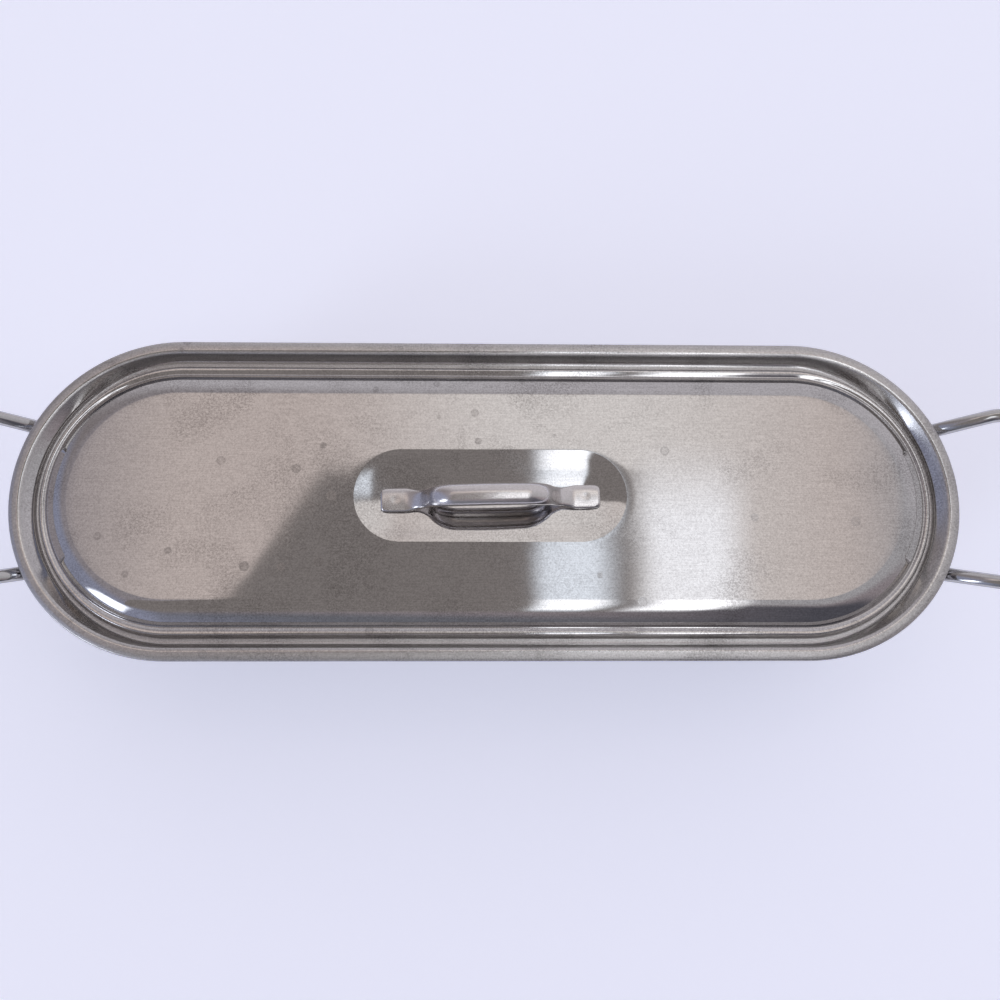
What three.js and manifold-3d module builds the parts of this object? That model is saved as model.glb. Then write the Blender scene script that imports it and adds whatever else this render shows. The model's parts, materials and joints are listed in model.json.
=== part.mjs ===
// Fish poacher: a long pressed pan with round ends, a perforated lift-out rack that carries
// the fish, and a pressed lid with a strap handle.
// Lengths are in millimetres. The origin is the centre of the pan's underside, +X runs along
// the pan, +Y to the rear and +Z up.
import * as THREE from 'three';
import { mergeGeometries, mergeVertices } from 'three/addons/utils/BufferGeometryUtils.js';
import Module from 'manifold-3d';

const wasm = await Module();
wasm.setup();

// Driving dimensions: the lid's outline, which the pan and the rack follow at an even distance.
const lidHalfLength = 250;
const lidHalfWidth = 85.75;
const centreLine = lidHalfLength - lidHalfWidth;
const sheet = 0.9;
const gap = 0.3;

// The pan's rolled rim, which the lid's flat-topped edge caps.
const rimHeight = 98.1;
const panBead = 1.9;
const beadInset = 3.15;
const beadLine = lidHalfWidth - beadInset;

// Pan body.
const wallDraft = THREE.MathUtils.degToRad(2.5);
const cornerRadius = 12;
const baseStepHeight = 0.8;
const baseStepWidth = 3;
const baseRingWidth = 7;

// Lid, in heights above the centre of the pan's rolled rim and in distances from its edge.
const capHeight = 3.15;
const capWidth = 5.9;
const capCorner = 0.9;
const skirtEnd = -0.95;
const valleyHeight = -5.5;
const ledgeHeight = -1.7;
const ledgeInset = 13.9;
const topHeight = 5.2;
const topInset = 31;
const shoulderRadius = 16.1;
const shoulderAngle = 52;

// The dish pressed into the lid's top, where the handle stands.
const dishHalfLength = 71.6;
const dishRadius = 24.9;
const dishSlope = THREE.MathUtils.degToRad(4.1);
const dishMiddle = 7;
const dishMiddleRadius = 100;
const dishX = 0.9;

// The pockets pressed out of the lid's wall at both ends, in degrees seen from the end's centre.
const pocketCentre = -4.2;
const pocketHalf = 26.6;
const pocketFade = 1.4;

// Lid handle: a strap with turned-down edges, spot-welded at its two pads.
const strapThickness = 1;
const padEnd = 57.2;
const padInner = 36.5;
const padHalfWidth = 6;
const padLip = 1.9;
const padHeight = 6.65;
const padBend = 8;
const gripEnd = 28;
const gripHeight = 26.5;
const gripLean = -2.35;
const gripCrown = 1.4;
const gripBend = 16;
const gripHalfWidth = 5.2;
const gripLip = 3.2;
const legHalfWidth = 4.6;
const handleSkew = THREE.MathUtils.degToRad(1.25);
const handleY = -1.7;

// Pan handles: one bent rod at each end, on a curved plate.
const rodRadius = 3.75;
const rodHeight = 89.2;
const rodSpread = THREE.MathUtils.degToRad(11.5);
const rodRise = THREE.MathUtils.degToRad(15);
const rodHalfGap = 38.2;
const rodBendStart = 271;
const rodBend = 24;
const plateThickness = 1.2;
const plateHalfHeight = 12;
const plateHalfAngle = 36;
const plateZ = 84;

// Rack.
const rackRadius = 71.5;
const rackFoot = 3.3;
const rackTop = 15.4;
const rackCorner = 4;
const holeRadius = 4.5;
const holePitch = 28;
const holeRowPitch = 20;
const holeRows = 5;
const holeMargin = 7;

// Rack handles: wire loops that turn in clips riveted to the rack.
const wireRadius = 2.5;
const pivotX = 200;
const pivotZ = rackTop + gap + wireRadius;
const loopHalfWidth = 38;
const loopHeight = 69;
const loopLean = THREE.MathUtils.degToRad(4);
const footBend = 6;
const topBend = 16;
const wireInnerEnd = 17;
const clipY = 26;
const clipWidth = 12;
const clipHalfLength = 12.5;
const rivetX = 8.6;
const rivetShank = 1.4;
const rivetHead = 2.7;
const stopHeight = 9;
const stopWidth = 9;
const stopFoot = 10;

// Facets.
const endSteps = 16;
const rodSides = 8;

const steel = { color: 0xb9b7b4, roughness: 0.28, metalness: 1 };
const darkSteel = { color: 0xa3a19e, roughness: 0.4, metalness: 1 };
const wireSteel = { color: 0xc4c3c2, roughness: 0.2, metalness: 1 };

const model = new THREE.Group();

function addPiece(name, geometry, look) {
  const mesh = new THREE.Mesh(geometry, new THREE.MeshStandardMaterial(look));
  mesh.name = name;
  model.add(mesh);
  return mesh;
}

// Six times the signed volume of a closed surface, positive when its faces point out.
function signedVolume(positions, index) {
  const a = new THREE.Vector3();
  const b = new THREE.Vector3();
  const c = new THREE.Vector3();
  let sum = 0;
  for (let i = 0; i < index.length; i += 3) {
    a.fromArray(positions, index[i] * 3);
    b.fromArray(positions, index[i + 1] * 3);
    c.fromArray(positions, index[i + 2] * 3);
    sum += a.dot(b.cross(c));
  }
  return sum;
}

function surface(points, faces) {
  const positions = points.flatMap((p) => [p.x, p.y, p.z]);
  const index = faces.flat();
  if (signedVolume(positions, index) < 0) {
    index.reverse();
  }
  const geometry = new THREE.BufferGeometry();
  geometry.setAttribute('position', new THREE.Float32BufferAttribute(positions, 3));
  geometry.setIndex(index);
  return geometry;
}

function solid(geometry) {
  const bare = geometry.clone();
  bare.deleteAttribute('normal');
  bare.deleteAttribute('uv');
  const merged = mergeVertices(bare, 1e-4);
  return new wasm.Manifold(new wasm.Mesh({
    numProp: 3,
    vertProperties: Float32Array.from(merged.attributes.position.array),
    triVerts: Uint32Array.from(merged.index.array),
  }));
}

function geometryOf(manifold) {
  const mesh = manifold.getMesh();
  const geometry = new THREE.BufferGeometry();
  geometry.setAttribute('position', new THREE.Float32BufferAttribute(mesh.vertProperties, 3));
  geometry.setIndex(Array.from(mesh.triVerts));
  return geometry;
}

// A station is one place along the long outline with round ends: which end it is on, and
// the angle there, from -90 degrees at the front to +90 degrees at the rear.
function outlineStations() {
  const angles = new Set();
  for (let i = 0; i <= endSteps; i += 1) {
    angles.add(-90 + (180 * i) / endSteps);
  }
  for (const side of [-1, 1]) {
    angles.add(pocketCentre + side * (pocketHalf - pocketFade));
    angles.add(pocketCentre + side * (pocketHalf + pocketFade));
  }
  const sorted = [...angles].sort((a, b) => a - b);
  const right = sorted.map((angle) => ({ end: 1, angle }));
  const left = sorted.map((angle) => ({ end: -1, angle })).reverse();
  return [...right, ...left];
}

const stations = outlineStations();

function outlinePoint(station, point) {
  const angle = THREE.MathUtils.degToRad(station.angle);
  const x = (point.shift ?? 0) + station.end * (point.half + point.r * Math.cos(angle));
  return new THREE.Vector3(x, point.r * Math.sin(angle), point.z);
}

// Gives a profile its sheet thickness: the upper face from the middle outwards, then the
// lower face back to the middle, each point moved square to the profile.
function sheetSection(profile, thickness) {
  const direction = (from, to) => {
    if (from.half !== to.half) {
      return new THREE.Vector2(1, 0);
    }
    return new THREE.Vector2(to.r - from.r, to.z - from.z).normalize();
  };
  const under = profile.map((point, i) => {
    const before = direction(profile[Math.max(i - 1, 0)], profile[Math.max(i, 1)]);
    const last = profile.length - 1;
    const after = direction(profile[Math.min(i, last - 1)], profile[Math.min(i + 1, last)]);
    const reach = thickness / (1 + before.dot(after));
    return {
      ...point,
      r: point.r + reach * (before.y + after.y),
      z: point.z - reach * (before.x + after.x),
    };
  });
  return [...profile, ...under.reverse()];
}

// Carries a section round the stations and closes its two ends across the middle, which
// makes a pressed dish or lid of one sheet. The section may differ from station to station.
function pressing(sectionAt) {
  const count = stations.length;
  const sections = stations.map(sectionAt);
  const rings = sections[0].length;
  const points = [];
  for (let ring = 0; ring < rings; ring += 1) {
    stations.forEach((station, j) => points.push(outlinePoint(station, sections[j][ring])));
  }
  const faces = [];
  for (let ring = 0; ring < rings - 1; ring += 1) {
    for (let j = 0; j < count; j += 1) {
      const a = ring * count + j;
      const b = ring * count + ((j + 1) % count);
      faces.push([a, a + count, b + count], [a, b + count, b]);
    }
  }
  const lastRing = (rings - 1) * count;
  for (let k = 0; k < count / 2 - 1; k += 1) {
    const mirror = count - 1 - k;
    faces.push([k, k + 1, mirror - 1], [k, mirror - 1, mirror]);
    faces.push([lastRing + k, lastRing + mirror - 1, lastRing + k + 1]);
    faces.push([lastRing + k, lastRing + mirror, lastRing + mirror - 1]);
  }
  return surface(points, faces);
}

// Points on an arc in the profile's plane, angles in degrees.
function arc(r, z, radius, from, to, steps, half = centreLine) {
  const points = [];
  for (let i = 0; i <= steps; i += 1) {
    const angle = THREE.MathUtils.degToRad(from + ((to - from) * i) / steps);
    points.push({ half, r: r + radius * Math.cos(angle), z: z + radius * Math.sin(angle) });
  }
  return points;
}

function at(r, z, half = centreLine) {
  return { half, r, z };
}

// A path of straight stretches with round bends. Its parameter steps evenly from point to
// point, so the bends get as many points as they need and the straights get none.
class BentPath extends THREE.Curve {
  constructor(corners, radii, bendSteps) {
    super();
    this.points = [corners[0]];
    this.tangents = [corners[1].clone().sub(corners[0]).normalize()];
    for (let i = 1; i < corners.length - 1; i += 1) {
      this.addBend(corners[i - 1], corners[i], corners[i + 1], radii[i - 1], bendSteps);
    }
    const last = corners.length - 1;
    this.points.push(corners[last]);
    this.tangents.push(corners[last].clone().sub(corners[last - 1]).normalize());
    this.steps = this.points.length - 1;
  }

  addBend(before, corner, after, radius, bendSteps) {
    const into = corner.clone().sub(before).normalize();
    const out = after.clone().sub(corner).normalize();
    const turn = into.angleTo(out);
    const start = corner.clone().addScaledVector(into, -radius * Math.tan(turn / 2));
    const side = out.clone().addScaledVector(into, -into.dot(out)).normalize();
    const centre = start.clone().addScaledVector(side, radius);
    for (let i = 0; i <= bendSteps; i += 1) {
      const angle = (turn * i) / bendSteps;
      const tangent = into.clone().multiplyScalar(Math.cos(angle));
      tangent.addScaledVector(side, Math.sin(angle));
      const point = centre.clone().addScaledVector(side, -radius * Math.cos(angle));
      point.addScaledVector(into, radius * Math.sin(angle));
      this.points.push(point);
      this.tangents.push(tangent);
    }
  }

  getPoint(t) {
    return this.points[Math.round(t * this.steps)].clone();
  }

  getPointAt(t) {
    return this.getPoint(t);
  }

  getTangent(t) {
    return this.tangents[Math.round(t * this.steps)].clone();
  }

  getTangentAt(t) {
    return this.getTangent(t);
  }
}

function polygon(radius, sides) {
  const points = [];
  for (let i = 0; i < sides; i += 1) {
    const angle = (2 * Math.PI * (i + 0.5)) / sides;
    points.push(new THREE.Vector2(radius * Math.cos(angle), radius * Math.sin(angle)));
  }
  return new THREE.Shape(points);
}

function rod(path, radius) {
  return new THREE.ExtrudeGeometry(polygon(radius, rodSides), {
    steps: path.steps,
    extrudePath: path,
    bevelEnabled: false,
  });
}

// Joins outlines of equal point count into one closed body. Each section has a flat outline
// and a function that places its points.
function loft(sections) {
  const count = sections[0].outline.length;
  const points = sections.flatMap((s) => s.outline.map((p) => s.place(p)));
  const faces = [];
  for (let i = 0; i < sections.length - 1; i += 1) {
    for (let j = 0; j < count; j += 1) {
      const a = i * count + j;
      const b = i * count + ((j + 1) % count);
      faces.push([a, b, b + count], [a, b + count, a + count]);
    }
  }
  const last = (sections.length - 1) * count;
  const first = THREE.ShapeUtils.triangulateShape(sections[0].outline, []);
  first.forEach(([a, b, c]) => faces.push([a, c, b]));
  const end = THREE.ShapeUtils.triangulateShape(sections.at(-1).outline, []);
  end.forEach(([a, b, c]) => faces.push([last + a, last + b, last + c]));
  return surface(points, faces);
}

// Pan body: one deep pressing with a stepped base, a drafted wall and a rolled rim.
const panWallRadius = beadLine - panBead;
const cornerZ = sheet + cornerRadius;
const cornerLine = panWallRadius - (rimHeight - cornerZ) * Math.tan(wallDraft) - cornerRadius;
const stepOuter = cornerLine - baseRingWidth;

function panProfile() {
  return [
    at(stepOuter - baseStepWidth, sheet + baseStepHeight),
    at(stepOuter - baseStepWidth / 2, sheet + baseStepHeight * 0.8),
    at(stepOuter, sheet),
    ...arc(cornerLine, cornerZ, cornerRadius, -90, 0, 5),
    ...arc(beadLine, rimHeight, panBead, 180, -90, 7),
  ];
}

const panSection = sheetSection(panProfile(), sheet);
addPiece('pan_body', pressing(() => panSection), steel);

// Pan handles and their plates. The plate follows the end wall, and the rod's ends are cut
// to the plate's curve.
function wallOuter(z) {
  return panWallRadius + sheet / Math.cos(wallDraft) - (rimHeight - z) * Math.tan(wallDraft);
}

function handlePlate(end) {
  const steps = 24;
  const roundAngle = 7;
  const sections = [];
  for (let i = 0; i <= steps; i += 1) {
    const angle = -plateHalfAngle + (2 * plateHalfAngle * i) / steps;
    const nearEnd = Math.max(Math.abs(angle) - plateHalfAngle + roundAngle, 0) / roundAngle;
    const halfHeight = plateHalfHeight * Math.max(Math.sqrt(1 - nearEnd ** 2), 0.3);
    const turn = THREE.MathUtils.degToRad(angle);
    const outline = [[0, -1], [1, -1], [1, 1], [0, 1]].map(([a, b]) => new THREE.Vector2(a, b));
    const place = (p) => {
      const z = plateZ + p.y * halfHeight;
      const r = wallOuter(z) + gap + p.x * plateThickness;
      const x = end * (centreLine + r * Math.cos(turn));
      return new THREE.Vector3(x, r * Math.sin(turn), z);
    };
    sections.push({ outline, place });
  }
  return loft(sections);
}

// A cone that follows the plate's outer face, used to cut the rod's ends to its curve.
function plateCutter(end) {
  const low = plateZ - 2 * plateHalfHeight;
  const high = plateZ + 2 * plateHalfHeight;
  const reach = plateThickness + 2 * gap;
  const top = wallOuter(high) + reach;
  const geometry = new THREE.CylinderGeometry(top, wallOuter(low) + reach, high - low, 96);
  geometry.rotateX(Math.PI / 2);
  geometry.translate(end * centreLine, 0, plateZ);
  return geometry;
}

function panHandle(end) {
  const startX = centreLine + Math.sqrt(wallOuter(rodHeight) ** 2 - rodHalfGap ** 2);
  const legSlope = Math.tan(rodSpread);
  const gripX = rodBendStart + rodBend * Math.tan((Math.PI / 2 + rodSpread) / 2) * Math.cos(rodSpread);
  const place = (x, side) => {
    const y = side * (rodHalfGap + (x - startX) * legSlope);
    const z = rodHeight + (x - startX) * Math.tan(rodRise);
    return new THREE.Vector3(end * x, y, z);
  };
  const hiddenX = startX - 2 * rodRadius;
  const corners = [place(hiddenX, -1), place(gripX, -1), place(gripX, 1), place(hiddenX, 1)];
  const path = new BentPath(corners, [rodBend, rodBend], 9);
  return geometryOf(solid(rod(path, rodRadius)).subtract(solid(plateCutter(end))));
}

for (const [side, end] of [['left', -1], ['right', 1]]) {
  addPiece(`pan_handle_${side}`, panHandle(end), wireSteel);
  addPiece(`pan_handle_plate_${side}`, handlePlate(end), darkSteel);
}

// Rack plate: a shallow pressing with its edge turned down and rows of drain holes.
function rackProfile() {
  return [
    at(rackRadius - rackCorner, rackTop),
    ...arc(rackRadius - rackCorner, rackTop - rackCorner, rackCorner, 67.5, 0, 3),
    at(rackRadius, rackFoot),
  ];
}

function prism(x, y, radius, sides, low, high) {
  const geometry = new THREE.CylinderGeometry(radius, radius, high - low, sides);
  geometry.rotateX(Math.PI / 2);
  geometry.translate(x, y, (low + high) / 2);
  return geometry;
}

function isClearOfClips(x, y) {
  const clearX = Math.abs(Math.abs(x) - pivotX) > clipHalfLength + holeRadius + 2;
  const clearY = Math.abs(Math.abs(y) - (clipY + loopHalfWidth) / 2) > clipWidth + holeRadius;
  return clearX || clearY;
}

function drainHoles() {
  const holes = [];
  for (let row = 0; row < holeRows; row += 1) {
    const y = (row - (holeRows - 1) / 2) * holeRowPitch;
    const offset = (row % 2) * (holePitch / 2);
    for (let x = offset - holePitch * 9; x < holePitch * 10; x += holePitch) {
      const beyondLine = Math.max(Math.abs(x) - centreLine, 0);
      const inside = Math.hypot(beyondLine, y) < rackRadius - rackCorner - holeMargin;
      if (inside && isClearOfClips(x, y)) {
        holes.push(prism(x, y, holeRadius, 8, rackFoot, rackTop + 1));
      }
    }
  }
  return mergeGeometries(holes);
}

function rivetHoles(low, high) {
  const holes = [];
  for (const clip of clipPlaces()) {
    for (const side of [-1, 1]) {
      holes.push(prism(clip.x + side * rivetX, clip.y, rivetShank + gap, 8, low, high));
    }
  }
  return mergeGeometries(holes);
}

function clipPlaces() {
  const places = [];
  for (const end of [-1, 1]) {
    for (const side of [-1, 1]) {
      places.push({ x: end * pivotX, y: side * clipY });
    }
  }
  return places;
}

function rackPlate() {
  const section = sheetSection(rackProfile(), sheet);
  let plate = solid(pressing(() => section));
  plate = plate.subtract(solid(drainHoles()));
  plate = plate.subtract(solid(rivetHoles(rackFoot, rackTop + 1)));
  return geometryOf(plate);
}

addPiece('rack_plate', rackPlate(), darkSteel);

// Rack handles: each a wire loop with its two feet bent in, which turn in the clips.
function rackHandle(end) {
  const corners = [
    new THREE.Vector3(0, -wireInnerEnd, 0),
    new THREE.Vector3(0, -loopHalfWidth, 0),
    new THREE.Vector3(0, -loopHalfWidth, loopHeight),
    new THREE.Vector3(0, loopHalfWidth, loopHeight),
    new THREE.Vector3(0, loopHalfWidth, 0),
    new THREE.Vector3(0, wireInnerEnd, 0),
  ];
  const path = new BentPath(corners, [footBend, topBend, topBend, footBend], 5);
  const geometry = rod(path, wireRadius);
  geometry.rotateY(end * loopLean);
  geometry.translate(end * pivotX, 0, pivotZ);
  return geometry;
}

// Clip: a strip bent over the wire, flat on the rack at both sides.
function clipShape() {
  const inner = wireRadius + gap;
  const outer = inner + sheet;
  const centre = inner;
  const low = gap;
  const high = gap + sheet;
  const shape = new THREE.Shape();
  shape.moveTo(-clipHalfLength, low);
  shape.lineTo(-inner - 0.4, low);
  shape.absarc(0, centre, inner, Math.PI, 0, true);
  shape.lineTo(inner + 0.4, low);
  shape.lineTo(clipHalfLength, low);
  shape.lineTo(clipHalfLength, high);
  shape.lineTo(outer + 0.5, high);
  shape.absarc(0, centre, outer, 0, Math.PI, false);
  shape.lineTo(-outer - 0.5, high);
  shape.lineTo(-clipHalfLength, high);
  shape.closePath();
  return shape;
}

function rackClip(place) {
  const geometry = new THREE.ExtrudeGeometry(clipShape(), {
    depth: clipWidth,
    bevelEnabled: false,
    curveSegments: 5,
  });
  geometry.rotateX(Math.PI / 2);
  geometry.translate(place.x, place.y + clipWidth / 2, rackTop);
  return geometryOf(solid(geometry).subtract(solid(rivetHoles(rackFoot, rackTop + 3))));
}

function rivet(x, y) {
  const tail = -sheet - gap;
  const seat = 2 * gap + sheet;
  const profile = [
    new THREE.Vector2(0, tail - 1),
    new THREE.Vector2(rivetHead - 0.5, tail - 0.8),
    new THREE.Vector2(rivetHead - 0.4, tail),
    new THREE.Vector2(rivetShank, tail),
    new THREE.Vector2(rivetShank, seat),
    new THREE.Vector2(rivetHead, seat),
    new THREE.Vector2(rivetHead * 0.75, seat + 1),
    new THREE.Vector2(0, seat + 1.5),
  ];
  const geometry = new THREE.LatheGeometry(profile, 8);
  geometry.rotateX(Math.PI / 2);
  geometry.translate(x, y, rackTop);
  return geometry;
}

// Stop: an angle behind each leg of the two handles, which holds it just past upright.
function stopShape() {
  const low = gap;
  const bend = 0.7;
  const shape = new THREE.Shape();
  shape.moveTo(bend, low);
  shape.lineTo(stopFoot, low);
  shape.lineTo(stopFoot, low + sheet);
  shape.lineTo(sheet + bend, low + sheet);
  shape.lineTo(sheet, low + sheet + bend);
  shape.lineTo(sheet, stopHeight);
  shape.lineTo(0, stopHeight);
  shape.lineTo(0, low + bend);
  shape.closePath();
  return shape;
}

function rackStop(place) {
  const geometry = new THREE.ExtrudeGeometry(stopShape(), {
    depth: stopWidth,
    bevelEnabled: false,
  });
  const end = Math.sign(place.x);
  const lean = (stopHeight + rackTop - pivotZ) * Math.tan(loopLean);
  geometry.rotateX(Math.PI / 2);
  geometry.translate(wireRadius / Math.cos(loopLean) + lean + gap, stopWidth / 2, 0);
  geometry.rotateZ(end > 0 ? 0 : Math.PI);
  geometry.translate(place.x, Math.sign(place.y) * loopHalfWidth, rackTop);
  return geometry;
}

const clipNames = ['left_front', 'left_rear', 'right_front', 'right_rear'];
clipPlaces().forEach((place, i) => {
  addPiece(`rack_clip_${clipNames[i]}`, rackClip(place), steel);
  addPiece(`rack_stop_${clipNames[i]}`, rackStop(place), steel);
  for (const [where, side] of [['outer', Math.sign(place.x)], ['inner', -Math.sign(place.x)]]) {
    addPiece(`rack_rivet_${clipNames[i]}_${where}`, rivet(place.x + side * rivetX, place.y), steel);
  }
});
addPiece('rack_handle_left', rackHandle(-1), wireSteel);
addPiece('rack_handle_right', rackHandle(1), wireSteel);

// Lid: one pressing. From the middle outwards it has the dish, the flat top, a wide rounded
// shoulder, a ledge, a valley that drops inside the pan, and the flat-topped edge that caps
// the pan's rim. At both ends the shoulder stops short at the step of a pocket.
function shoulder(angle) {
  const turn = THREE.MathUtils.degToRad(angle);
  const distance = topInset - shoulderRadius * Math.sin(turn);
  const height = topHeight - shoulderRadius * (1 - Math.cos(turn));
  return at(lidHalfWidth - distance, rimHeight + height);
}

// The dish falls evenly from its edge and is rounded along its middle.
function dish(radius) {
  const slopeDepth = (dishRadius - Math.max(radius, dishMiddle)) * Math.tan(dishSlope);
  const middle = Math.max(dishMiddle ** 2 - radius ** 2, 0) / (2 * dishMiddleRadius);
  const point = at(radius, rimHeight + topHeight - slopeDepth - middle, dishHalfLength - dishRadius);
  return { ...point, shift: dishX };
}

function lidProfile(isPocket) {
  const inset = (distance, height) => at(lidHalfWidth - distance, rimHeight + height);
  const foot = inset(18.3, -1);
  const lowerShoulder = isPocket
    ? [inset(22.5, 2.2), inset(22.2, -0.2), inset(21.8, -0.7), foot]
    : [shoulder(36), shoulder(42), shoulder(47), shoulder(shoulderAngle)];
  return [
    dish(3), dish(dishMiddle), dish(dishRadius),
    shoulder(0), shoulder(10), shoulder(20), shoulder(30),
    ...lowerShoulder,
    inset(17.9, -1.5), inset(ledgeInset, ledgeHeight), inset(12.9, -4.9),
    inset(12.2, valleyHeight), inset(9.8, valleyHeight), inset(9.2, -4.9),
    inset(capWidth, capHeight - capCorner), inset(capWidth - 0.7, capHeight),
    inset(capCorner, capHeight), inset(0, capHeight - capCorner), inset(0, skirtEnd),
  ];
}

const plainLid = sheetSection(lidProfile(false), sheet);
const pocketLid = sheetSection(lidProfile(true), sheet);

// How far the wall has moved out into the pocket at a station: 0 outside it and 1 within.
function pocketShare(station) {
  const fromEdge = pocketHalf - Math.abs(station.angle - pocketCentre);
  return THREE.MathUtils.clamp((fromEdge + pocketFade) / (2 * pocketFade), 0, 1);
}

function lidSectionAt(station) {
  const share = pocketShare(station);
  return plainLid.map((point, i) => ({
    ...point,
    r: THREE.MathUtils.lerp(point.r, pocketLid[i].r, share),
    z: THREE.MathUtils.lerp(point.z, pocketLid[i].z, share),
  }));
}

addPiece('lid_shell', pressing(lidSectionAt), steel);

// Lid handle: a strap bent up into a grip that leans a little to the front, with its edges
// turned down all along. A section lies square to the strap's line: a top slightly crowned
// across, and two lips.
function strapOutline(halfWidth, lip) {
  const crown = 0.7;
  const t = strapThickness;
  const w = halfWidth;
  const points = [
    [w, -lip], [w, -0.8], [w - 0.9, 0], [0, crown], [-w + 0.9, 0], [-w, -0.8], [-w, -lip],
    [-w + t, -lip], [-w + t, -1.2], [0, crown - t], [w - t, -1.2], [w - t, -lip],
  ];
  return points.map(([a, b]) => new THREE.Vector2(a, b));
}

function lidHandle() {
  const seat = rimHeight + padHeight;
  const grip = rimHeight + gripHeight;
  const corners = [
    new THREE.Vector3(-padEnd, 0, seat),
    new THREE.Vector3(-padInner, 0, seat),
    new THREE.Vector3(-gripEnd, gripLean, grip),
    new THREE.Vector3(0, gripLean, grip + gripCrown),
    new THREE.Vector3(gripEnd, gripLean, grip),
    new THREE.Vector3(padInner, 0, seat),
    new THREE.Vector3(padEnd, 0, seat),
  ];
  const path = new BentPath(corners, [padBend, gripBend, 200, gripBend, padBend], 5);
  const sections = path.points.map((point, i) => {
    const tangent = path.tangents[i];
    const up = new THREE.Vector3(-tangent.z, 0, tangent.x);
    const isPad = Math.abs(point.x) > padInner;
    const rise = THREE.MathUtils.clamp((point.z - seat) / (grip - seat), 0, 1);
    const halfWidth = isPad ? padHalfWidth : THREE.MathUtils.lerp(legHalfWidth, gripHalfWidth, rise);
    const lip = THREE.MathUtils.lerp(padLip, gripLip, rise);
    const place = (p) => point.clone().addScaledVector(up, p.y).add(new THREE.Vector3(0, p.x, 0));
    return { outline: strapOutline(halfWidth, lip), place };
  });
  const geometry = loft(sections);
  geometry.rotateZ(handleSkew);
  geometry.translate(dishX, handleY, 0);
  return geometry;
}

addPiece('lid_handle', lidHandle(), steel);

export default model;
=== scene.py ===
# %% [markdown]
# # A fish poacher in stainless steel
# A long pan with round ends, a rack that lifts the fish out, and a pressed lid. The packed
# CAD model is the fixed frame. Each visible piece is worked out here as a smooth surface in
# the same place, because the reflections in polished steel show every facet.

import json
import math

import bmesh
import bpy
import numpy as np
from mathutils import Matrix, Vector
from mathutils.geometry import delaunay_2d_cdt

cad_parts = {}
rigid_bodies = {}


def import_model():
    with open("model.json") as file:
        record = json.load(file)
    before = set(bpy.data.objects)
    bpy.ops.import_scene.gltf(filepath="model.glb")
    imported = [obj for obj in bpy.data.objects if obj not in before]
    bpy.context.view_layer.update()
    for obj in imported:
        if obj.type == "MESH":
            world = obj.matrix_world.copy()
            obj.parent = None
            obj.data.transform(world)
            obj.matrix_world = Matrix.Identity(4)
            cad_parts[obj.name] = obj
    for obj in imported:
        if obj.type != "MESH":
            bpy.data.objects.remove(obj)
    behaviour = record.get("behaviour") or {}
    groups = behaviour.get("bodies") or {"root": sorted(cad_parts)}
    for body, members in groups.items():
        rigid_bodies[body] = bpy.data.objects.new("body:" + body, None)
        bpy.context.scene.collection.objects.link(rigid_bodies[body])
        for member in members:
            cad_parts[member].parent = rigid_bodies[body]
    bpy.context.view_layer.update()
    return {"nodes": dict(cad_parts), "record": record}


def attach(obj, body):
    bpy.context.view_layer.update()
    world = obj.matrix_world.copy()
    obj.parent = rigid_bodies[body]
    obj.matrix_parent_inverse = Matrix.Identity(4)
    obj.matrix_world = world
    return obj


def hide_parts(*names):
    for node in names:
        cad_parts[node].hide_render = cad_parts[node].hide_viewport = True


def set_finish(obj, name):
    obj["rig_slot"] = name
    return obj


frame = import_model()
print("CAD nodes:", len(frame["nodes"]))

# %% [markdown]
# ## Meshes from arrays
# Every sheet, rod and strip below is a grid of points: one direction runs along the piece
# and the other round its section. Small helpers turn such a grid into a mesh. Rows that
# meet in one place, as at the end of a rod, are merged into one point, which closes the pole.

# %% Grid helpers
MM = 0.001


def grid_quads(rows, columns, wrap_rows=False):
    """Corners of each quad between neighbouring grid points: the point at row i and column
    j has the number i times the columns plus j. After the last column comes the first."""
    i = np.arange(rows if wrap_rows else rows - 1)[:, None]
    j = np.arange(columns)[None, :]
    i2, j2 = (i + 1) % rows, (j + 1) % columns
    corners = [i * columns + j, i * columns + j2, i2 * columns + j2, i2 * columns + j]
    return np.stack([np.broadcast_to(c, (i.size, j.size)) for c in corners], -1).reshape(-1, 4)


def make_piece(name, points, faces, body, slot, stands_for=(), matte=None):
    """A smooth closed piece from points in millimetres. Doubles are merged first, and the
    normals are then turned outwards. The share of matt surface, from 0 to 1 at each point,
    is kept in an attribute."""
    mesh = bpy.data.meshes.new(name)
    mesh.from_pydata((np.asarray(points, float) * MM).tolist(), [], faces)
    if matte is not None:
        mesh.attributes.new("matte", "FLOAT", "POINT").data.foreach_set("value", np.ravel(matte))
    shape = bmesh.new()
    shape.from_mesh(mesh)
    bmesh.ops.remove_doubles(shape, verts=shape.verts, dist=2e-6)
    bmesh.ops.recalc_face_normals(shape, faces=shape.faces)
    shape.to_mesh(mesh)
    shape.free()
    mesh.polygons.foreach_set("use_smooth", np.ones(len(mesh.polygons), bool))
    piece = bpy.data.objects.new(name, mesh)
    bpy.context.scene.collection.objects.link(piece)
    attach(piece, body)
    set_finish(piece, slot)
    if stands_for:
        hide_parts(*stands_for)
    triangles = sum(len(p.vertices) - 2 for p in mesh.polygons)
    print(f"{name}: {triangles} triangles")


def grid_piece(name, grid, body, slot, stands_for, matte=None):
    """A piece from a grid of points whose second direction closes round the section."""
    quads = grid_quads(*grid.shape[:2])
    make_piece(name, grid.reshape(-1, 3), quads.tolist(), body, slot, stands_for, matte)


print("helpers: grid_quads, make_piece, grid_piece")

# %% [markdown]
# ## Lines with rounded corners
# A pressing tool leaves straight stretches joined by small arcs, and a bent rod is the same
# thing in space. So one function rounds the corners of any line, flat or in space, and also
# gives the direction along it, from which a sheet gets its thickness and a rod its section.

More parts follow.
